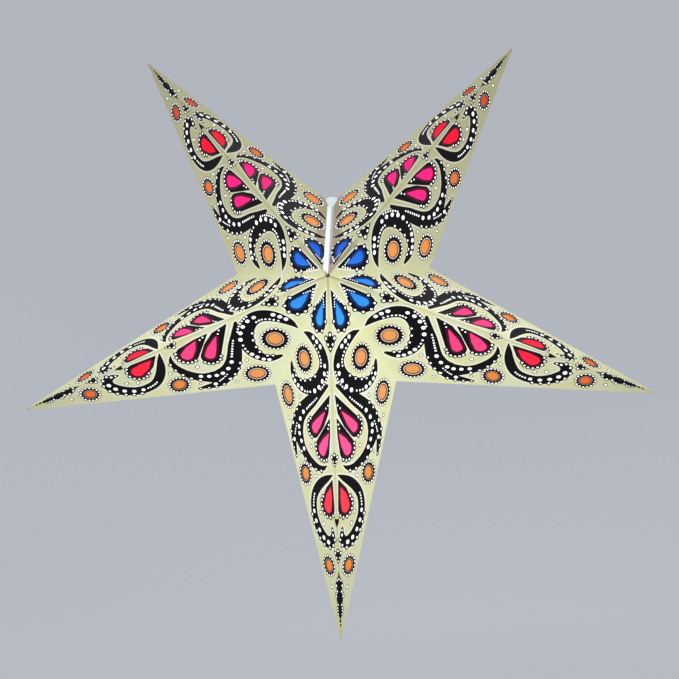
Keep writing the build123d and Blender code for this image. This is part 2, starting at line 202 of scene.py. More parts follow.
# Printed scrolls as (u, v, width) along their middle lines, from the apex towards the tip
crescent = [(52.5, 42, 0), (55, 32, 7), (60, 23, 10.5), (67, 15, 13), (76, 10.5, 14.5), (86, 12, 15.5),
            (95, 19, 16.5), (100.5, 29, 15.5), (103, 40, 14), (102.5, 50, 11.5), (97, 59.5, 9),
            (90, 62.5, 7), (83, 63.5, 3.4)]
garland = [(97, 6, 3), (106, 20, 9), (113, 30, 12.5), (119, 39, 14), (126, 48, 15.5), (135, 55, 17.5),
           (145, 57.5, 18.5), (153, 55, 15), (161, 50.5, 11), (168, 44, 10), (173, 35, 8.5),
           (175.5, 25, 6.5), (174, 16.5, 4), (170, 10.5, 0)]
leaf = [(136, 59, 9), (147, 64, 10.5), (157, 64.8, 8), (166, 62.8, 5), (175.5, 60, 0)]
heart = [(177, 2.2, 0), (182, 11, 5.5), (187.5, 20, 8.5), (194.5, 28, 9.5), (203, 33.8, 9.5),
         (213, 35.6, 10), (223, 34.2, 10.5), (232, 29.6, 12), (239, 23, 13), (242.6, 15, 12.5),
         (240, 8.6, 10), (234, 6.2, 6.6), (227.5, 7.2, 3)]
# Black drops round the windows, as circles (u, v, radius)
black_drops = [
    [(13.0, 3.1, 0.35), (39.8, 16.2, 11.4)],
    [(105.2, 3.4, 0.35), (120.4, 11.0, 5.2), (131, 20.5, 7.8), (139.6, 30.8, 9.3)],
    [(126.6, 4.8, 0.35), (141, 10.5, 5.8), (156.6, 17.8, 10.7)],
    [(182.3, 4.0, 0.35), (196, 9.5, 6.5), (208.4, 12.4, 10.2)],
]
# Half outlines of the shield, the spine and a floret on the ridge, closed beyond the sheet's edge
past_ridge = -1.5
shield = [(217.4, past_ridge), (217.4, 1.9), (218.2, 2.9), (220.5, 2.7), (222.8, 1.5), (225.0, 0.0),
          (225.0, past_ridge)]
spine = [(266.7, past_ridge), (266.7, 0.0), (271.0, 0.9), (273.2, 2.4), (275.5, 4.0), (278.7, 4.7),
         (281.5, 5.0), (283.6, 3.8), (286.2, 4.2), (288.3, 4.4), (291.0, 5.2), (293.4, 4.4), (295.6, 4.3),
         (297.3, 3.2), (299.4, 3.2), (300.9, 2.5), (302.8, 3.6), (304.6, 3.2), (306.2, 3.1), (308.6, 2.5),
         (311.5, 0.0), (311.5, past_ridge)]
floret_body = [(0.6, past_ridge), (0.6, 0.0), (3.4, 2.8), (5.6, 5.9), (8.8, 6.2), (11.7, 4.8), (14.8, 2.2),
               (17.4, 0.4), (17.4, past_ridge)]
floret_beads = [(1.9, 0.0, 1.3), (5.7, 5.7, 1.45), (10.9, 3.0, 1.2), (14.3, 0.0, 1.0)]
# Each floret's start along the ridge, and the scale of its length, its width and its beads
florets = [(49.6, 1.0, 1.0, 1.0), (157.3, 0.72, 0.64, 0.72), (245.6, 0.78, 0.68, 0.74)]
tip_spots, spot_stretch = [(313.4, 1.1), (317.4, 0.85)], 1.4

# Rows of pierced beads on a scroll: the stretch by its point numbers, how many, how far from the
# middle line as shares of the half width, and radii, at both ends of the row
rows_on_scrolls = [
    (crescent, (1.6, 2.75), 3, (-0.30, -0.32), (1.9, 2.0)),
    (crescent, (4.4, 6.95), 5, (-0.14, -0.62), (1.85, 2.1)),
    (crescent, (7.55, 8.3), 3, (-0.62, -0.62), (1.05, 1.05)),
    (crescent, (8.75, 10.3), 4, (-0.45, -0.35), (1.95, 1.7)),
    (crescent, (2.1, 4.6), 7, (0.62, 0.62), (0.95, 0.95)),
    (crescent, (4.75, 6.2), 7, (-0.80, -0.82), (0.95, 0.95)),
    (garland, (1.5, 3.35), 7, (-0.34, -0.34), (0.9, 1.1)),
    (garland, (4.0, 8.25), 6, (-0.22, -0.22), (2.0, 1.8)),
    (leaf, (0.35, 1.3), 5, (-0.42, -0.42), (0.8, 0.8)),
    (leaf, (1.9, 1.9), 1, (-0.2, -0.2), (1.8, 1.8)),
    (heart, (3.9, 5.05), 5, (0.05, 0.05), (0.95, 0.95)),
    (heart, (5.55, 9.15), 5, (0.02, 0.02), (1.8, 2.1)),
    (heart, (11.0, 11.6), 2, (0.0, 0.0), (1.25, 0.9)),
]
rows_on_rims = [
    (crescent, (6.3, 10.9), 6, (0.80, 0.84), (1.1, 1.05)),
    (garland, (3.95, 5.7), 4, (0.82, 0.86), (1.05, 1.1)),
    (garland, (8.25, 11.4), 5, (0.80, 0.80), (1.15, 1.05)),
    (leaf, (0.55, 3.5), 5, (0.82, 0.70), (1.1, 0.75)),
    (heart, (5.85, 10.6), 8, (0.84, 0.84), (1.1, 1.15)),
]
# Straight rows on the points of the drops: start, end, how many, and radii at both ends
straight_rows = [
    ((18.0, 7.2), (24.2, 15.2), 4, (1.0, 0.85)),
    ((21.4, 7.6), (27.9, 7.2), 4, (0.7, 0.6)),
    ((115.2, 6.6), (118.3, 10.0), 2, (0.95, 0.85)),
    ((132.5, 6.6), (136.4, 7.9), 2, (1.0, 0.9)),
]
# Round rows on the broad ends of the drops: middle, radius, angles in degrees, and the beads' radius
round_rows = [
    ((39.5, 16.2), 10.8, (-84, -26, 18, 62, 104, 148), 1.2),
    ((139.6, 30.8), 9.4, (22, 46, 71, 98, 126, 152), 1.1),
    ((156.6, 17.8), 10.7, (-34, -10, 13, 36, 58, 80, 103), 1.1),
    ((208.4, 12.4), 10.4, (-46, -18, 10, 37, 62, 87, 111, 135), 1.1),
]
# Single beads, and every bead in the lists below: middle, radius along and across, turn in degrees
ridge_beads = [((273.4, 0.0), 0.85, 0.85, 0), ((275.4, 2.3), 0.95, 0.95, 0), ((281.0, 4.2), 1.1, 1.15, 0),
               ((286.1, 2.9), 1.0, 1.0, 0), ((288.7, 4.4), 0.8, 0.85, 0), ((291.4, 4.8), 0.95, 1.0, 0),
               ((298.6, 2.4), 0.8, 0.85, 0), ((301.9, 3.2), 0.8, 0.85, 0), ((304.4, 3.0), 0.75, 0.8, 0),
               ((307.4, 2.4), 0.7, 0.7, 0)]
stray_beads = [((114.0, 52.0), 1.4, 1.3, 0), ((137.0, 72.3), 1.25, 1.2, 0), ((157.8, 36.0), 1.5, 1.4, 0),
               ((184.4, 30.2), 1.4, 1.35, 0), ((227.0, 20.3), 2.1, 1.15, 14), ((217.4, 25.0), 1.35, 1.3, 0),
               ((284.4, 10.9), 1.4, 1.4, 0), ((168.0, 56.6), 0.85, 0.85, 0)]
bead_stretch = 1.1  # beads on a scroll are this much longer than wide
broad_bead = 1.5  # wider beads get more points


def along(points, at):
    """Place, width and direction on a scroll's middle line, at a point number that may be part way."""
    last = len(points) - 1
    i = min(int(at), last - 1)
    t = at - i
    before, start, end, after = np.array(points, float)[np.clip(range(i - 1, i + 3), 0, last)]
    slope_start, slope_end = (end - before) / 2, (after - start) / 2
    place = ((2 * t**3 - 3 * t**2 + 1) * start + (t**3 - 2 * t**2 + t) * slope_start
             + (3 * t**2 - 2 * t**3) * end + (t**3 - t**2) * slope_end)
    way = ((6 * t**2 - 6 * t) * start + (3 * t**2 - 4 * t + 1) * slope_start
           + (6 * t - 6 * t**2) * end + (3 * t**2 - 2 * t) * slope_end)[:2]
    return place[:2], max(place[2], 0), way / (hypot(*way) or 1)


def scroll(points, grow=0.0, steps=4):
    """Outline of a scroll that swells and tapers along its middle line."""
    marks = [along(points, k / steps) for k in range(steps * (len(points) - 1) + 1)]
    near, far = [], []
    for place, width, way in marks:
        side = np.array((-way[1], way[0])) * (width / 2 + grow)
        near.append(place - side)
        far.append(place + side)
    place, width, way = marks[0]
    start = place - way * (width / 2 + grow)
    place, width, way = marks[-1]
    end = place + way * (width / 2 + grow)
    return [tuple(p) for p in (start, *near, end, *far[::-1])]


def drop(circles, grow=0.0, count=28):
    """Teardrop: a hull round circles (u, v, radius) at its point, its waist and its end."""
    ring = []
    for u, v, radius in circles:
        ring += ellipse((u, v), radius + grow, radius + grow, count=count)
    return [ring[k] for k in convex_hull_2d(ring)]


def scroll_beads(points, stretch, count, sides, sizes):
    """A row of pierced beads along a stretch of a scroll."""
    row = []
    for k in range(count):
        share = k / max(count - 1, 1)
        place, width, way = along(points, stretch[0] + (stretch[1] - stretch[0]) * share)
        side = sides[0] + (sides[1] - sides[0]) * share
        middle = place + np.array((-way[1], way[0])) * side * width / 2
        size = sizes[0] + (sizes[1] - sizes[0]) * share
        row.append((tuple(middle), size * bead_stretch, size, degrees(atan2(way[1], way[0]))))
    return row


def round_beads(middle, radius, angles, size):
    """A row of pierced beads round the broad end of a drop."""
    places = [(middle[0] + radius * cos(radians(a)), middle[1] + radius * sin(radians(a))) for a in angles]
    return [(place, size, size, 0) for place in places]


def straight_beads(start, end, count, sizes):
    """A row of pierced beads from one place to another."""
    row = []
    for k in range(count):
        share = k / max(count - 1, 1)
        size = sizes[0] + (sizes[1] - sizes[0]) * share
        middle = (start[0] + (end[0] - start[0]) * share, start[1] + (end[1] - start[1]) * share)
        row.append((middle, size, size, 0))
    return row


inner_beads = [bead for row in rows_on_scrolls for bead in scroll_beads(*row)]
inner_beads += [bead for row in straight_rows for bead in straight_beads(*row)]
rim_beads = [bead for row in rows_on_rims for bead in scroll_beads(*row)]
rim_beads += [bead for row in round_rows for bead in round_beads(*row)]

# What shows where shapes overlap: the last of these wins. Brown shows again inside the white line
PAPER, EDGING, BLACK, NAVY, MAROON, BROWN, WHITE_LINE, BEAD, OPEN = range(9)
INSIDE_LINE = WHITE_LINE + 0.5
# How far each ink stands out round the shape that it borders
scroll_edging, drop_edging, window_ink = 1.5, 1.4, 2.2
rim_ink, ridge_ink, stray_ink, floret_ink = 1.3, 0.85, 0.7, 1.4
# An oval's brown ring is a share of its border. Its white line, by outer and inner edge, is wider
# in a wide border. Its border ends in scallops, each with a bead, by radius along and across
brown_share, wide_border = 0.42, 4.5
wide_line, narrow_line = (1.55, 0.85), (1.05, 0.8)
scallop, scallop_bead = (1.9, 1.5), (1.1, 0.85)

shapes = []
for points in (crescent, garland, leaf, heart):
    shapes.append((EDGING, scroll(points, scroll_edging)))
    shapes.append((BLACK, scroll(points)))
for circles in black_drops:
    shapes.append((EDGING, drop(circles, drop_edging)))
    shapes.append((BLACK, drop(circles)))
shapes.append((BLACK, ellipse((0, 0), apex_rim_radius, apex_rim_radius, count=round_hole_points)))
shapes += [(BLACK, shield), (BLACK, spine)]
for start, radius in tip_spots:
    shapes.append((BLACK, ellipse((start, 0), radius * spot_stretch, radius)))
for start, long, wide, size in florets:
    shapes.append((BLACK, [(start + u * long, v * wide) for u, v in floret_body]))
    for u, v, radius in floret_beads:
        middle, dark = (start + u * long, v * wide), (radius + floret_ink) * size
        shapes.append((BLACK, ellipse(middle, dark, dark, count=16)))
        ridge_beads.append((middle, radius * size, radius * size, 0))
for middle, long, wide, turned in ridge_beads:
    shapes.append((BLACK, ellipse(middle, long + ridge_ink, wide + ridge_ink, turned, count=14)))
for window, ink in zip(drop_windows, (NAVY, MAROON, MAROON, MAROON)):
    shapes.append((ink, drop(window, window_ink)))
    shapes.append((OPEN, drop(window)))
for middle, radius_u, radius_v, turned, border, teeth in ovals:
    line_out, line_in = wide_line if border > wide_border else narrow_line
    for kind, wider, count in (
        (BLACK, border, 48), (BROWN, border * brown_share, 40), (WHITE_LINE, line_out, 36),
        (INSIDE_LINE, line_in, 36), (OPEN, 0, oval_points),
    ):
        shapes.append((kind, ellipse(middle, radius_u + wider, radius_v + wider, turned, count)))
    for k, place in enumerate(ellipse(middle, radius_u + border, radius_v + border, turned, teeth)):
        shapes.append((BLACK, ellipse(place, *scallop, turned + 360 * k / teeth, count=10)))
        shapes.append((BEAD, ellipse(place, *scallop_bead, turned + 360 * k / teeth, count=10)))
for bordered, ink_width in ((rim_beads, rim_ink), (stray_beads, stray_ink)):
    for middle, long, wide, turned in bordered:
        shapes.append((BLACK, ellipse(middle, long + ink_width, wide + ink_width, turned, count=14)))
for middle, long, wide, turned in inner_beads + rim_beads + ridge_beads + stray_beads:
    count = 14 if wide > broad_bead else 10
    shapes.append((BEAD, ellipse(middle, long, wide, turned, count)))


def rim_point(step):
    """Corner of the star's outline in the middle plane, clockwise from the top notch."""
    angle = radians(90 - 36 * step)
    radius = tip_radius if step % 2 else notch_radius
    return Vector((radius * cos(angle), 0, radius * sin(angle)))


def panel_frame(step, face):
    """Apex, ridge, across and outward directions of a panel, and whether it is a mirror image."""
    tip, corner = (step, step + 1) if step % 2 else (step + 1, step)
    apex = Vector((0, -half_depth if face == "front" else half_depth, 0))
    along_ridge = (rim_point(tip) - apex).normalized()
    normal = along_ridge.cross(rim_point(corner) - apex).normalized()
    across = normal.cross(along_ridge)
    mirrored = normal.dot(apex) < 0
    return apex, along_ridge, across, -normal if mirrored else normal, mirrored


def crossing(point_a, turn_a, point_b, turn_b):
    """Where two lines cross, each through a point at a turn."""
    a, b = (cos(turn_a), sin(turn_a)), (cos(turn_b), sin(turn_b))
    gap = (point_b[0] - point_a[0], point_b[1] - point_a[1])
    way = (gap[0] * b[1] - gap[1] * b[0]) / (a[0] * b[1] - a[1] * b[0])
    return (point_a[0] + way * a[0], point_a[1] + way * a[1])


def corners(ridge_out, valley_out, side_out):
    """Apex, tip and notch corners of a face whose edges stand out from the creases."""
    ridge_start = (0, -ridge_out)
    valley_start = (-valley_out * sin(notch_turn), valley_out * cos(notch_turn))
    side_start = (ridge_length + side_out * sin(side_turn), side_out * cos(side_turn))
    return [crossing(ridge_start, 0, valley_start, notch_turn),
            crossing(ridge_start, 0, side_start, -side_turn),
            crossing(valley_start, notch_turn, side_start, -side_turn)]


def inside(ring, places):
    """Which places lie inside a closed ring, by its winding round them."""
    ring = np.array(ring)
    found = np.zeros(len(places), bool)
    near = np.where(((places >= ring.min(0)) & (places <= ring.max(0))).all(1))[0]
    if not len(near):
        return found
    x, y = places[near, 0][:, None], places[near, 1][:, None]
    a, b = ring, np.roll(ring, -1, 0)
    cross = (b[:, 0] - a[:, 0]) * (y - a[:, 1]) - (x - a[:, 0]) * (b[:, 1] - a[:, 1])
    rising = (a[:, 1] <= y) & (b[:, 1] > y) & (cross > 0)
    falling = (a[:, 1] > y) & (b[:, 1] <= y) & (cross < 0)
    found[near] = (rising.sum(1) - falling.sum(1)) != 0
    return found


def share_of(corner_ring, places):
    """How much of each of three corners makes each place up."""
    a, b, c = (np.array(p) for p in corner_ring)
    far = np.linalg.solve(np.array([b - a, c - a]).T, (places - a).T).T
    return np.column_stack((1 - far.sum(1), far))


def triangulate(rings, merge_within):
    """Points and triangles of a flat sheet cut along closed rings, and the ring points each one was."""
    points, edges = [], []
    for ring in rings:
        edges += [(len(points) + k, len(points) + (k + 1) % len(ring)) for k in range(len(ring))]
        points += [Vector(p) for p in ring]
    points, _, triangles, origins, *_ = delaunay_2d_cdt(points, edges, [], 0, merge_within, True)
    points, triangles = np.array([tuple(p) for p in points]), np.array(triangles)
    a, b, c = (points[triangles[:, k]] for k in range(3))
    area = (b[:, 0] - a[:, 0]) * (c[:, 1] - a[:, 1]) - (b[:, 1] - a[:, 1]) * (c[:, 0] - a[:, 0])
    triangles[area < 0] = triangles[area < 0][:, ::-1]
    return points, triangles[abs(area) > sliver], origins


def grip_outline():
    """The hole for the lampholder's grip, round from above, as it falls on the slanting panel."""
    _, along_ridge, across, *_ = panel_frame(0, "front")
    seen_from_above = np.array([[along_ridge.x, across.x], [along_ridge.y, across.y]])
    ring = ellipse((0, 0), grip_hole_radius, grip_hole_radius, count=round_hole_points)
    return np.linalg.solve(seen_from_above, np.array(ring).T).T + np.array(notch)


def printed_pieces(outline, cuts):
    """Points and triangles of a sheet cut along its print and its openings, and each one's kind."""
    rings = [(PAPER, outline)] + shapes + [(OPEN, cut) for cut in cuts]
    points, triangles, _ = triangulate([ring for _, ring in rings], merge_cuts)
    middles = points[triangles].mean(1)
    kinds = np.zeros(len(triangles))
    for kind, ring in rings:
        hit = inside(ring, middles)
        kinds[hit] = np.maximum(kinds[hit], kind)
    kinds[~inside(outline, middles)] = OPEN
    kinds[kinds == INSIDE_LINE] = BROWN
    kept = kinds < OPEN
    return points, triangles[kept], kinds[kept].astype(int)


def open_edges(ends):
    """Closed loops of points, from a table of each point's next one."""
    loops = []
    while ends:
        start, at = next(iter(ends.items()))
        loop = [start]
        del ends[start]
        while at != start:
            loop.append(at)
            at = ends.pop(at)
        loops.append(loop)
    return loops


def cut_sheet(seam_side):
    """Points, faces and face kinds of one flat panel, with its print, beads and windows cut."""
    trim = seam_trim if seam_side == "left" else 0
    ridge = paper_half / tan(ridge_half_angle)
    valley = paper_half / tan(valley_half_angle)
    side = paper_half / tan(side_half_angle)
    outer = corners(ridge - hairline, -valley - hairline - trim, side - hairline)
    inner = corners(-ridge - hairline, valley - hairline - trim, -side - hairline)
    blunt = [crossing(outer[1], 0, (tip_cut, 0), pi / 2),
             crossing(outer[2], -side_turn, (tip_cut, 0), pi / 2)]
    cuts = [ellipse((0, 0), apex_hole_radius, apex_hole_radius, count=round_hole_points)]
    if seam_side:
        cuts.append(grip_outline())
    flat_points, triangles, kinds = printed_pieces([outer[0], *blunt, outer[2]], cuts)

    # Every point is made at the levels that its faces need: the top, the floor of a bead, the inside
    top, floor, under = range(3)
    heights = [paper_half, bead_floor, -paper_half]
    levels = np.where(kinds == BEAD, floor, top)
    index, faces, face_kinds = {}, [], list(kinds)

    def point_at(i, level):
        """Number of a cut point at a level."""
        return index.setdefault((i, level), len(index))

    for triangle, level in zip(triangles, levels):
        faces.append([point_at(i, level) for i in triangle])
    sides, ends = {}, {}
    for number, triangle in enumerate(triangles):
        for k in range(3):
            sides[triangle[k], triangle[(k + 1) % 3]] = number
    for (i, j), number in sides.items():
        other = sides.get((j, i))
        level = levels[number]
        deeper = under if other is None else levels[other]
        if deeper > level:
            faces.append([point_at(i, level), point_at(i, deeper), point_at(j, deeper), point_at(j, level)])
            face_kinds.append(kinds[number] if deeper == under else BEAD)
        if other is None:
            ends[i] = j

    # The inside is plain, so it is cut only along the rim, which is the longest loop, and the openings
    loops = open_edges(ends)
    loops.sort(key=lambda loop: -np.ptp(flat_points[loop], 0).sum())
    rim, *holes = loops
    numbers = sum(loops, [])
    under_points, triangles, origins = triangulate([flat_points[loop] for loop in loops], merge_rims)
    middles = under_points[triangles].mean(1)
    kept = inside(flat_points[rim], middles)
    for hole in holes:
        kept &= ~inside(flat_points[hole], middles)
    for triangle in triangles[kept]:
        faces.append([point_at(numbers[origins[i][0]], under) for i in triangle[::-1]])
        face_kinds.append(OPEN)

    # The rim is mitred: it slants from the outer face's outline to the inner one's
    by_level = []
    for height in heights:
        share = (paper_half - height) / (2 * paper_half)
        edge_corners = np.array(outer) * (1 - share) + np.array(inner) * share
        by_level.append(flat_points.copy())
        by_level[-1][rim] = share_of(outer, flat_points[rim]) @ edge_corners
    points = np.array([(*by_level[level][i], heights[level]) for i, level in index])
    return points, faces, face_kinds


def sheet_object(name, flat_points, faces, kinds, place, materials):
    """Mesh object of flat points (u, v, height) put in a panel's place, with a map of u and v."""
    apex, along_ridge, across, outward, mirrored = place
    axes = np.array([along_ridge, across, outward])
    points = (np.asarray(flat_points) @ axes + np.array(apex)) / mm_per_metre + np.array(star_middle)
    if mirrored:
        faces = [f[::-1] for f in faces]
    mesh = bpy.data.meshes.new(name)
    mesh.from_pydata(points.tolist(), [], faces)
    for material in materials:
        mesh.materials.append(material)
    mesh.polygons.foreach_set("material_index", kinds)
    flat_map = mesh.uv_layers.new(name="flat")
    corners_at = np.empty(len(mesh.loops), int)
    mesh.loops.foreach_get("vertex_index", corners_at)
    flat_map.data.foreach_set("uv", (np.asarray(flat_points)[corners_at, :2] / mm_per_metre).ravel())
    piece = bpy.data.objects.new(name, mesh)
    bpy.context.scene.collection.objects.link(piece)
    return piece


# Materials measure in metres. The lamp's light in the paper is full within one distance of the
# star's middle and least beyond another, and warmth is that distance with a share of the height
full_within, least_beyond, fall_curve = 0.095, 0.315, 0.7
warmth_of_height = 0.35
# Handmade paper has clouds of thick and thin pulp, and long fibres in two lays, by turn, length and
# width. The real fibres are hair thin, and are drawn about 1 mm wide so that they show
cloud_size = 0.022
fibre_lays = ((0.5, 0.012, 0.0009), (-1.0, 0.014, 0.0011))
fibre_relief = 0.00012
pulp_range = (1.0, 2.0)  # of the clouds and both lays added together
# The folded ridge gets a thin line of painted shade, darkest at the apex: its width, and the light it leaves
# along the ridge
crease_shade_width = (0.0003, 0.0017)
crease_shade_reach, crease_shade_light = (0.007, 0.022), (0.62, 0.86)
# A shade is ramps multiplied together: the measure, from, to, and how dark at each. Both are painted shade.
# The first is a leaf-shaped shade beside the ridges that rise from the apex, and the second is a grey shade
# on the doubled paper beside the foot of the closing strip
ridge_shade = (("from ridge", 0.0035, 0.0075, 1.0, 0.0), ("height", -0.13, -0.09, 0.0, 1.0),
               ("sideways", -0.012, 0.012, 0.20, 0.44),
               ("along ridge", 0.010, 0.021, 0.0, 1.0), ("along ridge", 0.036, 0.049, 1.0, 0.0))
strip_foot_shade = (("from fold", 0.007, 0.011, 0.68, 0.0),
               ("along fold", 0.013, 0.019, 0.0, 1.0), ("along fold", 0.028, 0.038, 1.0, 0.0))
doubled_share = 0.62  # of the lap's width is fully doubled, and the rest fades


def lantern_finish(name, own, lit, near, far, rough=0.85, cloud=0.08, fibre=0.4, gloss=0.25,
                   dim=None, shades=(), lap=None):
    """Paper or ink lit from inside: its own colour under studio light, and the lamp's light coming through
    it, as strong as near round the star's middle and as far at the tips. A colour is a hex value, or stops
    over a measure. Dim is a colour that the lamp's light is multiplied by, shades are painted shade, and lap
    is the width and the tint of painted shade where the paper is doubled along the seam."""
    made = bpy.data.materials.new(name)
    tree = empty_tree(made)
    place = add(tree, "ShaderNodeTexCoord").outputs["Object"]
    flat = add(tree, "ShaderNodeUVMap", uv_map="flat")
    apart = add(tree, "ShaderNodeVectorMath", {0: place, 1: star_middle}, operation="DISTANCE")
    reach = apart.outputs["Value"]
    # Where a point hangs on the lantern, and where it lies on the flat sheet
    hung = add(tree, "ShaderNodeSeparateXYZ", {0: place}).outputs
    laid = add(tree, "ShaderNodeSeparateXYZ", {0: flat}).outputs
    warmth = add(tree, "ShaderNodeMath", {0: hung["Z"], 1: warmth_of_height, 2: reach},
                 operation="MULTIPLY_ADD")
    clouds = add(tree, "ShaderNodeTexNoise",
                 {"Vector": place, "Scale": 1 / cloud_size, "Detail": 4.0, "Roughness": 0.6})
    measures = {"height": hung["Z"], "sideways": hung["X"], "warmth": warmth, "cloud": clouds,
                "along ridge": laid["X"], "from ridge": laid["Y"]}
    if lap:
        for measure, way in (("along fold", (cos(notch_turn), sin(notch_turn), 0)),
                             ("from fold", (sin(notch_turn), -cos(notch_turn), 0))):
            dot = add(tree, "ShaderNodeVectorMath", {0: flat, 1: way}, operation="DOT_PRODUCT")
            measures[measure] = dot.outputs["Value"]

    def tone(value):
        """A colour, or a ramp of colours over one of the measures."""
        if isinstance(value, str):
            return colour(value)[:3]
        measure, *stops = value
        low, high = stops[0][0], stops[-1][0]
        share = add(tree, "ShaderNodeMapRange", {0: measures[measure], 1: low, 2: high})
        ramp = add(tree, "ShaderNodeValToRGB", {0: share})
        marks = ramp.color_ramp.elements
        marks[0].color, marks[1].color = colour(stops[0][1]), colour(stops[-1][1])
        for at, hex_value in stops[1:-1]:
            marks.new((at - low) / (high - low)).color = colour(hex_value)
        return ramp

    # The lamp's light by distance, then what the pulp, the crease's painted shade and the other painted
    # shades leave of it
    fall = add(tree, "ShaderNodeMapRange", {0: reach, 1: full_within, 2: least_beyond, 3: 1.0, 4: 0.0})
    fall = add(tree, "ShaderNodeMath", {0: fall, 1: fall_curve}, operation="POWER")
    fall = add(tree, "ShaderNodeMath", {0: fall, 1: near - far, 2: far}, operation="MULTIPLY_ADD")
    strands = []
    for angle, length, width in fibre_lays:
        way = add(tree, "ShaderNodeMapping",
                  {"Vector": flat, "Rotation": (0, 0, angle), "Scale": (1 / length, 1 / width, 1)})
        strands.append(add(tree, "ShaderNodeTexNoise",
                           {"Vector": way, "Scale": 1.0, "Detail": 3.0, "Roughness": 0.55}))
    pulp = add(tree, "ShaderNodeMath", {0: strands[0], 1: strands[1]}, operation="ADD")
    grey = add(tree, "ShaderNodeMath", {0: clouds, 1: pulp}, operation="ADD")
    vary = add(tree, "ShaderNodeMapRange", {
        0: grey, 1: pulp_range[0], 2: pulp_range[1], 3: 1 - cloud, 4: 1 + cloud})
    # Painted shade along the folded ridge: a thin dark line, darkest at the apex
    crease = add(tree, "ShaderNodeMapRange", {
        0: laid["X"], 1: crease_shade_reach[0], 2: crease_shade_reach[1], 3: crease_shade_light[0], 4: crease_shade_light[1]})
    crease = add(tree, "ShaderNodeMapRange", {
        0: laid["Y"], 1: crease_shade_width[0], 2: crease_shade_width[1], 3: crease, 4: 1.0})
    vary = add(tree, "ShaderNodeMath", {0: vary, 1: crease}, operation="MULTIPLY")
    for shade in shades:
        dark, *others = (
            add(tree, "ShaderNodeMapRange", {0: measures[measure], 1: low, 2: high, 3: first, 4: last})
            for measure, low, high, first, last in shade)
        for part in others:
            dark = add(tree, "ShaderNodeMath", {0: dark, 1: part}, operation="MULTIPLY")
        left = add(tree, "ShaderNodeMath", {0: 1.0, 1: dark}, operation="SUBTRACT")
        vary = add(tree, "ShaderNodeMath", {0: vary, 1: left}, operation="MULTIPLY")

    own_colour, glow = tone(own), tone(lit)
    if dim:
        glow = add(tree, "ShaderNodeVectorMath", {0: glow, 1: tone(dim)}, operation="MULTIPLY")
    # Painted shade where the lining doubles the paper: its own colour and the lamp's light are tinted darker
    if lap:
        width, tint = lap
        share = add(tree, "ShaderNodeMapRange", {
            0: measures["from fold"], 1: doubled_share * width, 2: width, 3: 1.0, 4: 0.0,
        }, interpolation_type="SMOOTHSTEP")
        doubled = add(tree, "ShaderNodeMix", {0: share, 6: colour("#ffffff"), 7: colour(tint)},
                      data_type="RGBA").outputs[2]
        own_colour = add(tree, "ShaderNodeVectorMath", {0: own_colour, 1: doubled}, operation="MULTIPLY")
        glow = add(tree, "ShaderNodeVectorMath", {0: glow, 1: doubled}, operation="MULTIPLY")
    base = add(tree, "ShaderNodeVectorMath", {0: own_colour, "Scale": vary}, operation="SCALE")
    shine = add(tree, "ShaderNodeMath", {0: fall, 1: vary}, operation="MULTIPLY")
    relief = add(tree, "ShaderNodeBump", {"Height": pulp, "Strength": fibre, "Distance": fibre_relief})
    surface = add(tree, "ShaderNodeBsdfPrincipled", {
        "Base Color": base, "Roughness": rough, "Specular IOR Level": gloss, "Normal": relief,
        "Emission Color": [*glow, 1.0] if isinstance(glow, list) else glow, "Emission Strength": shine})
    add(tree, "ShaderNodeOutputMaterial", {"Surface": surface})
    return made


# The lampholder stands above the bulb, so its light dims upwards
lamp_shade = ("height", (-0.135, "#ffffff"), (-0.055, "#b6b6b4"), (0.15, "#8e8c88"))
# Lokta paper under a thin cream print: matt and cloudy, khaki by itself and cream where it is lit
cream = dict(own="#b4b08a", lit=("cloud", (0.35, "#fdffc0"), (0.65, "#f2ffe2")), near=0.55, far=0.22,
             dim=lamp_shade)
printed_cream = lantern_finish("lokta_paper_printed_cream", **cream, shades=(ridge_shade,))
# The same paper left pale along the scrolls: a whiter, slightly brighter line between cream and black
edging = dict(own="#d6d4be", lit=("cloud", (0.35, "#fffdd8"), (0.65, "#fafff4")), near=0.60, far=0.24,
              dim=lamp_shade)
pale_edging = lantern_finish("lokta_paper_pale_edging", **edging)
# Dense black screen ink: it fills the fibres and stops the lamp's light, and has a faint sheen
black_ink = lantern_finish("screen_ink_black", "#100f12", "#2e2c34", near=0.04, far=0.0,
                           rough=0.6, cloud=0.2, fibre=0.25, gloss=0.12)
# Thinner inks round the windows: dark, but some of the lamp's light comes through in their colour
navy_ink = lantern_finish("screen_ink_navy", "#0b1c48", "#0d4fb0", near=0.18, far=0.05, rough=0.6)
maroon_ink = lantern_finish("screen_ink_maroon", "#2c0718", "#8a0838", near=0.20, far=0.08, rough=0.6)
brown_ink = lantern_finish("screen_ink_brown", "#3a1a12", "#7a2a14", near=0.25, far=0.10, rough=0.6)
# A ring of bare paper round each oval: a warm white line
white_line = lantern_finish("unprinted_paper_line", "#d8ccba", "#ffeede", near=0.6, far=0.3)
# Thin white tissue behind the pierced beads: smooth, and the brightest points of the star
bead_white = lantern_finish("lining_tissue_white", "#d6d8d6", "#ffffff", near=0.85, far=0.55,
                            cloud=0.03, fibre=0.1)
# The sheet's unprinted inner side: warm and plain
bare_inside = lantern_finish("lokta_paper_unprinted", "#c8c0a8", "#f0d8b0", near=0.16, far=0.05)
inks = [black_ink, navy_ink, maroon_ink, brown_ink, white_line, bead_white, bare_inside]
# Beside the seam the lining makes the paper double, painted pinker and darker there as painted shade where
# less of the lamp's light comes through: by its width and its tint
shell_finishes = {"": [printed_cream, pale_edging] + inks}
for side, lap in (("left", (0.018, "#dccdd4")), ("right", (0.016, "#d0c0cc"))):
    shell_finishes[side] = [
        lantern_finish(f"lokta_paper_cream_{side}_of_the_seam", **cream,
                       shades=(ridge_shade, strip_foot_shade), lap=lap),
        lantern_finish(f"lokta_paper_edging_{side}_of_the_seam", **edging, shades=(strip_foot_shade,), lap=lap),
    ] + inks

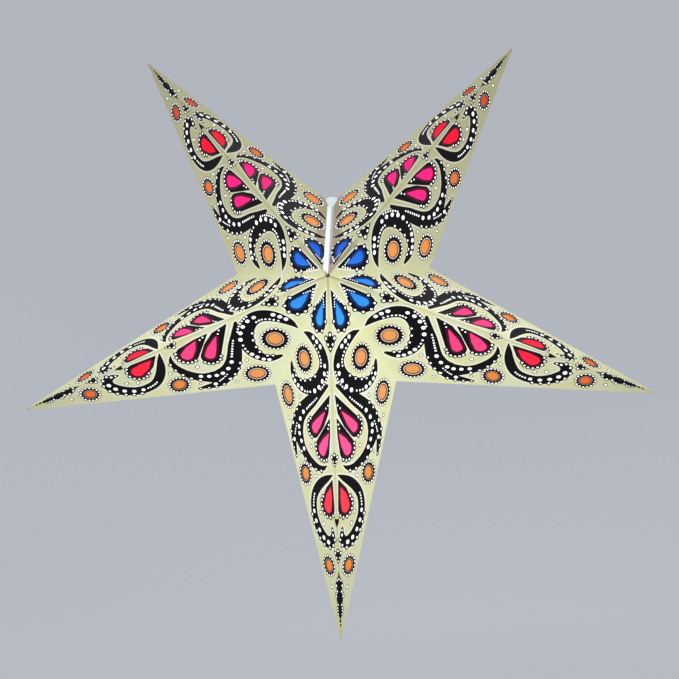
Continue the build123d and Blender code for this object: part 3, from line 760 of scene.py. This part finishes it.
panels = [(step, face, f"{arm_names[step // 2]}_{face}_{half_names[step % 2]}")
          for step in range(10) for face in ("front", "back")]
beside_seam = {0: "right", 9: "left"}
sheets = {side: cut_sheet(side) for side in ("", "left", "right")}
for step, face, body in panels:
    side = beside_seam.get(step, "")
    panel = sheet_object(f"{body}_printed_panel", *sheets[side], panel_frame(step, face),
                         shell_finishes[side])
    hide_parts(f"{body}_panel")
    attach(panel, body)


# Window tissue: eight pieces of dyed tissue glued behind each panel, one behind each window, cut
# 2 mm larger all round. The lamp shines through the dye, so they are the star's strongest colours.
tissue_margin, tissue_thickness = 2.0, 0.15
# Dyed tissue is thin, matt and even. Each is painted deeper and darker higher up, as painted shade where
# less of the lamp's light comes through
blue_tissue = lantern_finish(
    "dyed_tissue_blue", ("height", (-0.14, "#2474cc"), (-0.10, "#1a5ec0"), (-0.07, "#1244a0")),
    ("height", (-0.14, "#40b8ff"), (-0.10, "#3898ff"), (-0.07, "#2468f0")), near=0.60, far=0.5, cloud=0.05)
pink_tissue = lantern_finish(
    "dyed_tissue_pink", ("height", (-0.30, "#c84c80"), (-0.14, "#c03268"), (0.04, "#b80c5c")),
    ("height", (-0.30, "#ff60a0"), (-0.14, "#ff4080"), (0.04, "#ff0c80")), near=0.80, far=0.62, cloud=0.05)
red_tissue = lantern_finish(
    "dyed_tissue_red", ("height", (-0.34, "#c43444"), (-0.14, "#c0182e"), (0.08, "#b80c22")),
    ("height", (-0.34, "#ff4454"), (-0.14, "#ff1c3c"), (0.08, "#ff0c2c")), near=0.80, far=0.70, cloud=0.05)
# The orange one is painted amber by the bulb and brick red far from it, as painted light that is strongest
# by the bulb
orange_tissue = lantern_finish(
    "dyed_tissue_orange", ("warmth", (0.03, "#d0864a"), (0.13, "#cc7036"), (0.30, "#b03c28")),
    ("warmth", (0.03, "#ffb064"), (0.09, "#ff9a44"), (0.14, "#ff8c3c"), (0.20, "#f8643a"),
     (0.30, "#e04834")),
    near=0.55, far=0.5, cloud=0.05)
tissues = [blue_tissue, pink_tissue, red_tissue, orange_tissue]

BLUE, PINK, RED, ORANGE = range(4)
patches = [(drop(window, tissue_margin), dye) for window, dye in zip(drop_windows, (BLUE, PINK, PINK, RED))]
for middle, radius_u, radius_v, turned, *_ in ovals:
    cut = ellipse(middle, radius_u + tissue_margin, radius_v + tissue_margin, turned, oval_points)
    patches.append((cut, ORANGE))
patch_points, patch_faces, patch_kinds = [], [], []
for ring, dye in patches:
    outer, count = len(patch_points), len(ring)
    inner = outer + count
    for level in (-paper_half, -paper_half - tissue_thickness):
        patch_points += [(u, v, level) for u, v in ring]
    patch_faces += [range(outer, outer + count), range(inner + count - 1, inner - 1, -1)]
    patch_faces += band(outer, inner, count)
    patch_kinds += [dye] * (count + 2)
for step, face, body in panels:
    tissue = sheet_object(f"{body}_window_tissue", patch_points, patch_faces, patch_kinds,
                          panel_frame(step, face), tissues)
    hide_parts(f"{body}_tissue")
    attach(tissue, body)


# Closing strips: two strips of white paper folded along the seam at the top notch, one in front
# and one behind. Each is glued to the panel on its right and crowns a little over the left one.
strip_width, strip_flap, strip_thickness, strip_lift = 4.3, 3.4, 0.16, 0.02
strip_start, strip_grip_gap, strip_edge_gap = 2.6, 9.0, 0.06
strip_rows, crown_steps = 48, 9
strip_crown, crown_droop = 0.5, 0.12
# The crown's height waves along the strip, by size, pace and start of each wave, and so does its lean
crown_waves = ((0.16, 1.1, 0), (0.12, 0.37, 1), (0.05, 2.9, 0))
lean_size, lean_pace, lean_start = 0.12, 0.53, 2
flap_at_start, flap_growth = 0.3, 1.4

# Smooth machine-made paper: a colder white than the handmade sheets round it, and painted greyer and more
# cyan towards the top notch as painted shade
strip_paper = lantern_finish(
    "white_paper_strip", ("height", (-0.09, "#e8e8ec"), (-0.03, "#d4dede"), (-0.012, "#c4d6d4")),
    ("height", (-0.09, "#ffffff"), (-0.03, "#f4ffff"), (-0.012, "#e6fbfb")),
    near=0.50, far=0.3, cloud=0.05, fibre=0.25)
# The same paper lying flat on the panel: greyer, because two layers stop more of the light
flap_paper = lantern_finish(
    "white_paper_flap_in_shade", ("height", (-0.09, "#c0bcc4"), (-0.02, "#a8b4b4")),
    ("height", (-0.09, "#c8c0c8"), (-0.05, "#dcd8d8"), (-0.02, "#c8e0e0")),
    near=0.16, far=0.1, cloud=0.08, fibre=0.3)

open_angle = 2 * valley_half_angle
flap_way = np.array((cos(open_angle), sin(open_angle)))
flap_out = np.array((sin(open_angle), -cos(open_angle)))
low = paper_half + strip_lift
high = low + strip_thickness
fold_low, fold_high = (np.array((level / tan(valley_half_angle), level)) for level in (low, high))
edge = fold_low[0] + strip_edge_gap
crown_shares = [k / crown_steps for k in range(1, crown_steps + 1)]
strip_points, strip_faces, strip_kinds = [], [], []
for row in range(strip_rows + 1):
    reach = strip_start + (valley_length - strip_grip_gap - strip_start) * row / strip_rows
    crown = strip_crown * (1 + sum(size * sin(row * pace + start) for size, pace, start in crown_waves))
    lean = 1 + lean_size * sin(row * lean_pace + lean_start)
    arch = [(fold_high[0] + (edge + strip_width - fold_high[0]) * share,
             high - crown_droop * share + crown * sin(pi * share ** lean)) for share in crown_shares]
    flap = flap_way * strip_flap * min(1, flap_at_start + flap_growth * row / strip_rows)
    flat_section = [(edge + strip_width, -paper_half), (edge, -paper_half), (edge, paper_half), fold_low,
                    flap + flap_out * low, flap + flap_out * high, fold_high]
    for across, level in flat_section + arch:
        strip_points.append((reach * cos(notch_turn) + across * sin(notch_turn),
                             reach * sin(notch_turn) - across * cos(notch_turn), level))
count = len(flat_section) + len(crown_shares)
# The section's sides that lie on the flap, and the first of those that are arched
flap_sides, first_arched = (3, 4, 5), len(flat_section) - 1
STRIP, FLAP = range(2)
for row in range(strip_rows):
    near, far = row * count, (row + 1) * count
    for k in range(count):
        strip_faces.append([near + k, near + (k + 1) % count, far + (k + 1) % count, far + k])
        strip_kinds.append(FLAP if k in flap_sides else STRIP)
strip_faces += [range(count)[::-1], range(strip_rows * count, (strip_rows + 1) * count)]
strip_kinds += [STRIP, STRIP]
smooth = [k % count >= first_arched for k in range(len(strip_faces))]
for face in ("front", "back"):
    strip = sheet_object(f"{face}_folded_closing_strip", strip_points, strip_faces, strip_kinds,
                         panel_frame(9, face), [strip_paper, flap_paper])
    strip.data.polygons.foreach_set("use_smooth", smooth)
    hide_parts(f"{face}_closing_strip")
    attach(strip, f"upper_right_{face}_left")


# Seam linings and tape: strips of white paper glued inside along both edges of the seam, and a
# short tab of clear tape that mends the left panel's side edge beside the top notch.
drift_size, drift_range, drift_tones = 0.012, (0.3, 0.7), (0.94, 1.04)
rough_range, skin_strength = (0.8, 1.2), 0.4


def plain_finish(name, own, rough, grain=0.002, depth=0.00003, lit=None, glow=0.0, **sockets):
    """Surface of a solid piece: its colour drifts a little, and its skin has a grain of a size and a
    depth in metres. Fibres, press marks and moulded skins are 0.1 mm or finer, and are drawn coarser
    so that they show. Lit and glow are the colour and the strength of the lamp's light in it."""
    made = bpy.data.materials.new(name)
    tree = empty_tree(made)
    place = add(tree, "ShaderNodeTexCoord").outputs["Object"]
    drift = add(tree, "ShaderNodeTexNoise", {"Vector": place, "Scale": 1 / drift_size, "Detail": 2.0})
    vary = add(tree, "ShaderNodeMapRange", {
        0: drift, 1: drift_range[0], 2: drift_range[1], 3: drift_tones[0], 4: drift_tones[1]})
    base = add(tree, "ShaderNodeVectorMath", {0: colour(own)[:3], "Scale": vary}, operation="SCALE")
    skin = add(tree, "ShaderNodeTexNoise", {"Vector": place, "Scale": 1 / grain, "Detail": 3.0})
    rough_here = add(tree, "ShaderNodeMapRange", {
        0: skin, 3: rough * rough_range[0], 4: rough * rough_range[1]})
    relief = add(tree, "ShaderNodeBump", {"Height": skin, "Strength": skin_strength, "Distance": depth})
    if lit:
        sockets.update({"Emission Color": colour(lit), "Emission Strength": glow})
    surface = add(tree, "ShaderNodeBsdfPrincipled",
                  {"Base Color": base, "Roughness": rough_here, "Normal": relief, **sockets})
    add(tree, "ShaderNodeOutputMaterial", {"Surface": surface})
    return made


# Uncoated white paper: matt, with a soft fibrous grain, and a little of the lamp's warm light in it
lining_paper = plain_finish("white_paper_lining", "#d8d8d2", 0.85, grain=0.0009, depth=0.00008,
                            lit="#fffdf2", glow=0.25)
for face in ("front", "back"):
    for side in ("left", "right"):
        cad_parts[f"{face}_seam_lining_{side}"].material_slots[0].material = lining_paper
# Cast acetate film: smooth and shiny, so that it shows as a pale gloss with the paper under it
clear_tape = plain_finish("clear_acetate_tape", "#e6ead6", 0.16, grain=0.0012, depth=0.00002, Alpha=0.42)
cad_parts["edge_tape_tab"].material_slots[0].material = clear_tape


# Lampholder and bulb: a small moulded pendant holder with a ribbed skirt, a pressed brass sleeve
# and contact inside it, and a screw-in globe lamp of opal glass on a moulded white collar.

# Polypropylene takes a soft moulded sheen, and its pale grip stands in the lamp's light
grip_plastic = plain_finish("moulded_polypropylene_pale", "#d4dfdf", 0.38, lit="#eef6ff", glow=0.3)
# Urea is a hard, dense plastic, moulded nearly glossy, and polycarbonate is glossier and whiter
holder_plastic = plain_finish("moulded_urea_white", "#dcdcd6", 0.32)
collar_plastic = plain_finish("moulded_polycarbonate_white", "#e2e2de", 0.28)
# Brass from the press and nickel plate from the rolls are bright with fine marks, and solder is dull
pressed_brass = plain_finish("pressed_brass", "#cda55a", 0.28, grain=0.0008, Metallic=1.0)
rolled_nickel = plain_finish("rolled_nickel_plate", "#c3c0b9", 0.3, grain=0.0008, Metallic=1.0)
tin_solder = plain_finish("tin_solder", "#b4b4b2", 0.5, grain=0.0015, depth=0.0001, Metallic=1.0)
# Blown opal glass, coated inside: smooth with slow waves, and evenly warm white when it is lit
opal_glass = plain_finish("opal_glass_lit", "#e8e4d8", 0.12, grain=0.006, lit="#fff0cc", glow=0.42)
for name, material in (
    ("lamp_cord_grip", grip_plastic), ("lamp_holder_cap", holder_plastic),
    ("lamp_holder_body", holder_plastic), ("lamp_socket_sleeve", pressed_brass),
    ("lamp_centre_contact", pressed_brass), ("bulb_screw_cap", rolled_nickel),
    ("bulb_tip_contact", tin_solder), ("bulb_collar", collar_plastic), ("bulb_globe", opal_glass),
):
    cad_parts[name].material_slots[0].material = material
